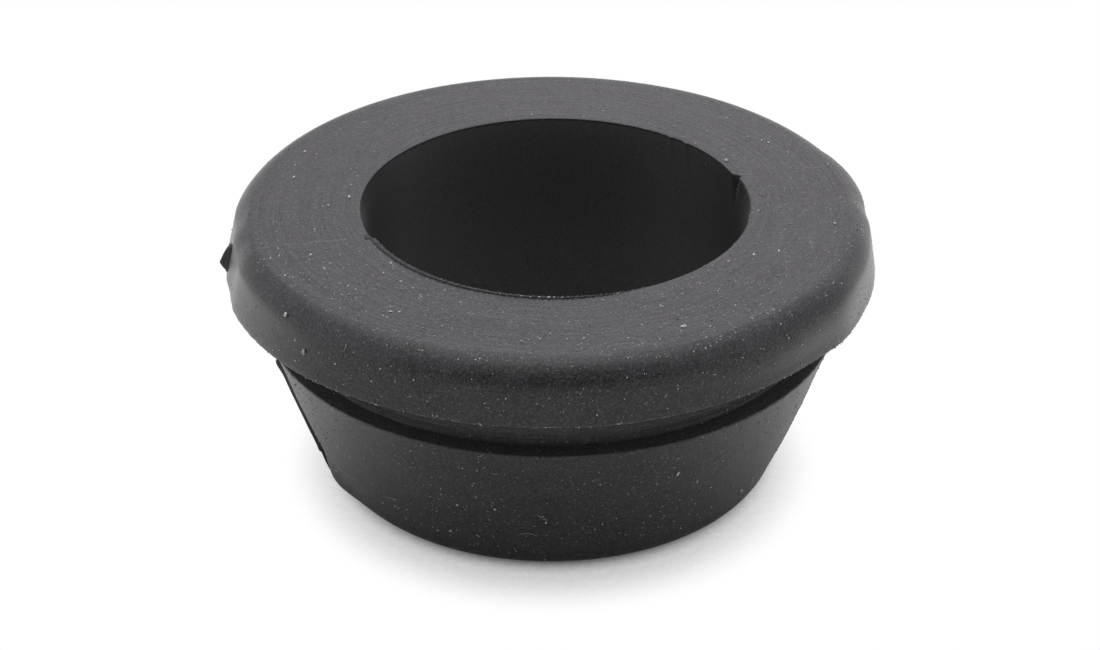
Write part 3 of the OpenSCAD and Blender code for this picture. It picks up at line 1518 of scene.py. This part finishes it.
    def along_lip(self, material: Material) -> Object:
        """Builds the dust caught along the flange's lower edge.

        Args:
            material: its finish.

        Returns:
            The dust as one mesh.
        """
        s = self.body.section
        chance = random.Random(self.seed)
        points, sizes = [], []
        azimuth, end = self.lip_span
        least, usual, rare = self.lip_grains
        while azimuth < end:
            thick = 0.5 + 0.5 * unit_noise(azimuth * 0.13, 2.0)
            caught = float(smooth(*self.clear_left, azimuth)) * float(1 - smooth(*self.clear_right, azimuth))
            if chance.random() < (0.20 + 0.75 * thick) * (0.10 + 0.90 * caught):
                lift = chance.uniform(*self.lip_lift) * MM
                spot = self.body.surface(azimuth, s.groove_top + 0.02 * MM, lift=lift)
                spot.z += chance.gauss(0.0, 0.02) * MM
                points.append(spot)
                sizes.append((least + usual * chance.random() ** 2 + rare * chance.random() ** 12) * MM)
            azimuth += chance.uniform(*self.lip_step)
        return self._strung("lip_dust", points, sizes, material)

    def chosen(self, material: Material) -> Object:
        """Builds the larger crumbs, each from a few grains.

        Args:
            material: their finish.

        Returns:
            The crumbs as one mesh.
        """
        chance = random.Random(self.seed + 1)
        points, sizes = [], []
        for crumb in self.crumbs:
            size, radius = crumb.size * MM, crumb.radius * MM if crumb.radius else None
            height = crumb.height * MM if crumb.height else self.body.section.top
            along = polar(1.0, crumb.azimuth + 90, 0) * math.cos(math.radians(crumb.slant))
            rise = UP if crumb.height else polar(-1.0, crumb.azimuth, 0)
            along += rise * math.sin(math.radians(crumb.slant))
            low, high = (0.35, 0.75) if crumb.height else (0.0, 0.3)
            for share in self.grains:
                lift = crumb.lift * MM + chance.uniform(low, high) * size
                spot = self.body.surface(crumb.azimuth, height, radius, lift)
                points.append(spot + along * share * size)
                sizes.append(size * chance.uniform(0.8, 1.15) * (1 - 0.35 * abs(share)))
        return self._strung("larger_crumbs", points, sizes, material)

    def _strung(
        self, name: str, points: list[Vector], sizes: list[float], material: Material
    ) -> Object:
        """Puts a crumb on each point.

        Args:
            name: the piece's name.
            points: where the crumbs go.
            sizes: their radii.
            material: their finish.

        Returns:
            The crumbs as one mesh.
        """
        holder = plain_object(name, points)
        holder.data.attributes.new("bead", "FLOAT", "POINT").data.foreach_set("value", sizes)
        tree = bpy.data.node_groups.get("Strung beads") or bead_tree()
        return run_tree(holder, tree, {"Seed": self.seed, "Material": material})


@dataclass(frozen=True)
class Thread:
    """One fibre at a chosen place on the side.

    It has a start, a height and a length in millimetres, a heading, and a curl.
    """

    azimuth: float
    height: float
    length: float
    heading: float
    curl: float = 0.0


@dataclass
class Lint:
    """Fibres that cling to the rubber."""

    body: GrommetBody
    radius: float = 0.013 * MM
    step: float = 0.05 * MM
    lift: float = 0.02 * MM
    slack: float = 0.04 * MM
    wander: float = 60.0
    threads: tuple[Thread, ...] = (
        Thread(-71.5, 8.13, 1.00, 24.0, 10.0),
        Thread(-80.9, 9.80, 0.35, 8.0, 20.0),
        Thread(-112.6, 3.60, 1.35, 42.0, -90.0),
        Thread(-107.9, 5.75, 0.45, -70.0, 120.0),
        Thread(-80.6, 4.40, 0.60, -20.0, -130.0),
        Thread(-144.7, 4.15, 1.05, 24.0, -20.0),
        Thread(-116.6, 9.60, 0.50, -40.0, 90.0),
        Thread(-160.2, 10.4, 0.45, -50.0, 20.0),
        Thread(-118.9, 11.0, 0.60, 10.0, 60.0),
        Thread(-96.4, 11.55, 0.35, 70.0, 20.0),
        Thread(-98.9, 11.45, 0.45, 40.0, 10.0),
        Thread(-60.2, 12.4, 0.75, -110.0, 130.0),
        Thread(-58.9, 14.85, 0.40, 78.0, 10.0),
        Thread(-141.6, 17.5, 0.60, 30.0, 80.0),
        Thread(-87.0, 16.2, 0.35, 30.0, 60.0),
        Thread(-129.0, 15.9, 0.40, -20.0, 90.0),
    )

    def build(self, material: Material) -> Object:
        """Builds the fibres.

        Args:
            material: their finish.

        Returns:
            The fibres as one mesh.
        """
        points, edges = [], []
        for thread in self.threads:
            first = len(points)
            length = thread.length * MM
            count = max(6, round(length / self.step))
            azimuth, height, heading = thread.azimuth, thread.height * MM, thread.heading
            for k in range(count + 1):
                rise = self.lift + self.slack * abs(unit_noise(k * 0.3, thread.azimuth))
                points.append(self.body.surface(azimuth, height, lift=rise))
                step = length / count
                around = step * math.cos(math.radians(heading)) / self.body.section.side_radius(height)
                azimuth += math.degrees(around)
                height += step * math.sin(math.radians(heading))
                heading += (thread.curl + self.wander * unit_noise(k * 0.4, thread.height)) / count
            edges += [(n, n + 1) for n in range(first, len(points) - 1)]
        holder = plain_object("lint_threads", points, edges)
        return run_tree(holder, fibre_tree(), {"Radius": self.radius, "Sides": 5, "Material": material})


# ------------------------------------------------------------------------------------------------ the studio


class Shape(Enum):
    """The outline of a lamp."""

    SQUARE = "SQUARE"
    ROUND = "DISK"


@dataclass(frozen=True)
class SoftLamp:
    """A large soft lamp."""

    name: str
    place: tuple[float, float, float]
    size: float
    watts: float
    shape: Shape = Shape.SQUARE

    def build(self, aim: Vector) -> Object:
        """Hangs the lamp.

        Args:
            aim: the point that it faces.

        Returns:
            The lamp.
        """
        data = bpy.data.lights.new(self.name, "AREA")
        data.shape = self.shape.value
        data.size = self.size
        data.energy = self.watts
        lamp = bpy.data.objects.new(self.name, data)
        bpy.context.scene.collection.objects.link(lamp)
        lamp.location = self.place
        lamp.rotation_euler = (Vector(self.place) - aim).to_track_quat("Z", "Y").to_euler()
        return lamp


@dataclass(frozen=True)
class Studio:
    """The floor, the surroundings, the lamps and the camera."""

    section: Section
    reach: float = 152.4 * MM
    azimuth: float = -15.3
    elevation: float = 27.4
    aim_height: float = 9.35 * MM
    lens: float = 75.7
    shift: float = -0.0009
    room: float = 0.05
    left_level: float = 0.75
    right_level: float = 0.60
    light_tint: Colour = (1.0, 0.97, 1.015, 1.0)
    dark_from: Band = (0.50, 0.90)
    left_from: Band = (-0.26, 0.06)
    right_from: Band = (0.45, 0.85)
    white: Colour = (1.0, 1.0, 1.0, 1.0)
    paper: tuple[Colour, Colour] = ((0.66, 0.63, 0.65, 1.0), (1.0, 0.97, 0.99, 1.0))
    floor_half: float = 2.0
    # Painted shade: the grey that rays other than the camera's see on the floor, darker than the paper.
    bounce: float = 0.58
    # Painted reflection: where, and how much, the floor glows white for glossy rays behind and beside the object.
    shine_from: Band = (16.0, 36.0)
    front_from: Band = (30.0, 5.0)
    front_shine: float = 0.30
    # Painted shadow: the floor's glow fades in over the radii below, the outer ring nudged towards the camera; the
    # across stretch between them serves the painted reflection.
    contact_painted_shadow: Band = (13.75, 15.85)
    side_shine: float = 1.26
    shadow: Band = (13.7, 18.6)
    shadow_shift: float = 1.5
    lamps: tuple[SoftLamp, ...] = (SoftLamp("overhead_lamp", (0.0, 0.1, 0.7), 0.7, 1.0),)

    def towards_camera(self) -> Vector:
        """Returns the direction from the object to the camera."""
        a, e = math.radians(self.azimuth), math.radians(self.elevation)
        return Vector((math.sin(a) * math.cos(e), -math.cos(a) * math.cos(e), math.sin(e)))

    def camera(self) -> Object:
        """Sets up the camera.

        Returns:
            The camera.
        """
        data = bpy.data.cameras.new("camera")
        data.lens = self.lens
        data.clip_start, data.clip_end = 0.01, 10.0
        data.shift_x = self.shift
        made = bpy.data.objects.new("camera", data)
        bpy.context.scene.collection.objects.link(made)
        made.location = Vector((0, 0, self.section.top)) + self.towards_camera() * self.reach
        aim = Vector((0, 0, self.aim_height))
        made.rotation_euler = (made.location - aim).to_track_quat("Z", "Y").to_euler()
        bpy.context.scene.camera = made
        return made

    def surroundings(self) -> None:
        """Makes the world: white all round, but darker towards the room, where the camera stands."""
        world = bpy.data.worlds.new("studio")
        bpy.context.scene.world = world
        world.use_nodes = True
        world.node_tree.nodes.clear()
        graph = Graph(world.node_tree)
        here = graph.node("ShaderNodeTexCoord").outputs["Generated"]
        a = math.radians(self.azimuth)
        middle = Vector((math.sin(a), -math.cos(a), 0.36)).normalized()
        level = graph.times_plus(graph.between(graph.dot(here, middle), *self.dark_from), self.room - 1.0, 1.0)
        side = graph.dot(here, Vector((math.cos(a), math.sin(a), 0)))
        level = graph.times(level, graph.between(side, *self.left_from, (self.left_level, 1.0)))
        level = graph.times(level, graph.between(side, *self.right_from, (1.0, self.right_level)))
        lit = graph.out("ShaderNodeBackground", {"Color": self.light_tint, "Strength": level})
        seen = graph.out("ShaderNodeBackground", {"Color": self.white, "Strength": 1.0})
        by_camera = graph.node("ShaderNodeLightPath").outputs["Is Camera Ray"]
        both = graph.out("ShaderNodeMixShader", {0: by_camera, 1: lit, 2: seen})
        graph.node("ShaderNodeOutputWorld", {"Surface": both})

    def floor(self) -> Object:
        """Lays the floor, which holds painted light: its white glow stops short of the object to leave a painted
        shadow, glossy rays see a painted reflection behind and beside it, and other rays see a darker grey copy of
        the paper.

        Returns:
            The floor.
        """
        half = self.floor_half
        corners = [(-half, -half, 0), (half, -half, 0), (half, half, 0), (-half, half, 0)]
        made = plain_object("floor", corners, faces=[(0, 1, 2, 3)])
        ground = Ground("pale_floor")
        graph = ground.graph
        grain = graph.between(graph.noise(ground.place, 1.7, 4.0, 0.7), 0.38, 0.62)
        light = graph.node("ShaderNodeLightPath").outputs
        by_camera = light["Is Camera Ray"]
        # Painted shade: rays other than the camera's see a flat darker grey instead of the paper, dimming the floor's
        # bounce light and its reflection in the rubber.
        paper = graph.blend_colour(by_camera, (self.bounce,) * 3 + (1.0,), graph.blend_colour(grain, *self.paper))
        a = math.radians(self.azimuth)
        across = graph.times_plus(ground.x, math.cos(a), graph.times(ground.y, math.sin(a)))
        towards = graph.times_plus(ground.x, math.sin(a), graph.times(ground.y, -math.cos(a)))
        back = graph.math("SUBTRACT", towards, self.shadow_shift)
        away = graph.length(graph.xyz(across, back))
        # Painted shadow: the white glow is held off close to the object, so the floor's own darker shading shows only
        # there.
        clear = graph.plus(
            graph.between(graph.length(graph.xyz(across, towards)), *self.contact_painted_shadow, (0.0, 0.50)),
            graph.between(away, *self.shadow, (0.0, 0.50)),
        )
        # Painted reflection: glossy rays see the floor glow white behind and beside the object, past the painted
        # shadow, and less in front.
        reach = graph.length(graph.xyz(graph.times(across, self.side_shine), back))
        behind = graph.between(towards, *self.front_from, (self.front_shine, 1.0))
        painted_reflection = graph.times(graph.times(behind, graph.between(reach, *self.shine_from)), light["Is Glossy Ray"])
        # The glow share holds the even white backdrop seen by the camera together with the painted shadow and the
        # painted reflection.
        white_and_painted_glow = graph.times(clear, graph.plus(painted_reflection, by_camera))
        matt = graph.out("ShaderNodeBsdfDiffuse", {"Color": paper})
        glow = graph.out("ShaderNodeEmission", {"Color": self.white, "Strength": 1.0})
        made.data.materials.append(ground.close(graph.out("ShaderNodeMixShader", {0: white_and_painted_glow, 1: matt, 2: glow})))
        return made

    def build(self) -> None:
        """Builds the whole studio."""
        self.camera()
        self.surroundings()
        self.floor()
        aim = Vector((0, 0, self.section.top / 2))
        for lamp in self.lamps:
            lamp.build(aim)
        bpy.context.scene.view_settings.view_transform = "Standard"


# ---------------------------------------------------------------------------------------------------- main


def settle(piece: Object) -> None:
    """Makes a finished piece ride on the body and reports it.

    Args:
        piece: the piece.
    """
    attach(piece, BODY)
    LOG.info("%s: %d vertices, %d faces", piece.name, len(piece.data.vertices), len(piece.data.polygons))


def main() -> None:
    """Builds the grommet and its studio, in order."""
    logging.basicConfig(level=logging.INFO, format="%(name)s: %(message)s")
    section = Section.from_frame()
    Studio(section).build()
    body = GrommetBody(section)
    solid = body.build(Rubber().make(section))
    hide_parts(NODE)
    settle(solid)
    flash_rubber = Rubber(name="flash_rubber", roughness=0.5, film=0.02, specks=0.05, turned=False).make()
    for piece in MouldFlash(body).build(flash_rubber):
        settle(piece)
    dust, pale = Dust(body), PaleDust().make()
    settle(dust.scattered(solid, pale))
    settle(dust.along_lip(pale))
    settle(dust.chosen(PaleDust("bright_crumbs", (0.72, 0.71, 0.72, 1.0), (0.95, 0.94, 0.95, 1.0)).make()))
    settle(Lint(body).build(LintFibre().make()))


if __name__ == "__main__":
    main()
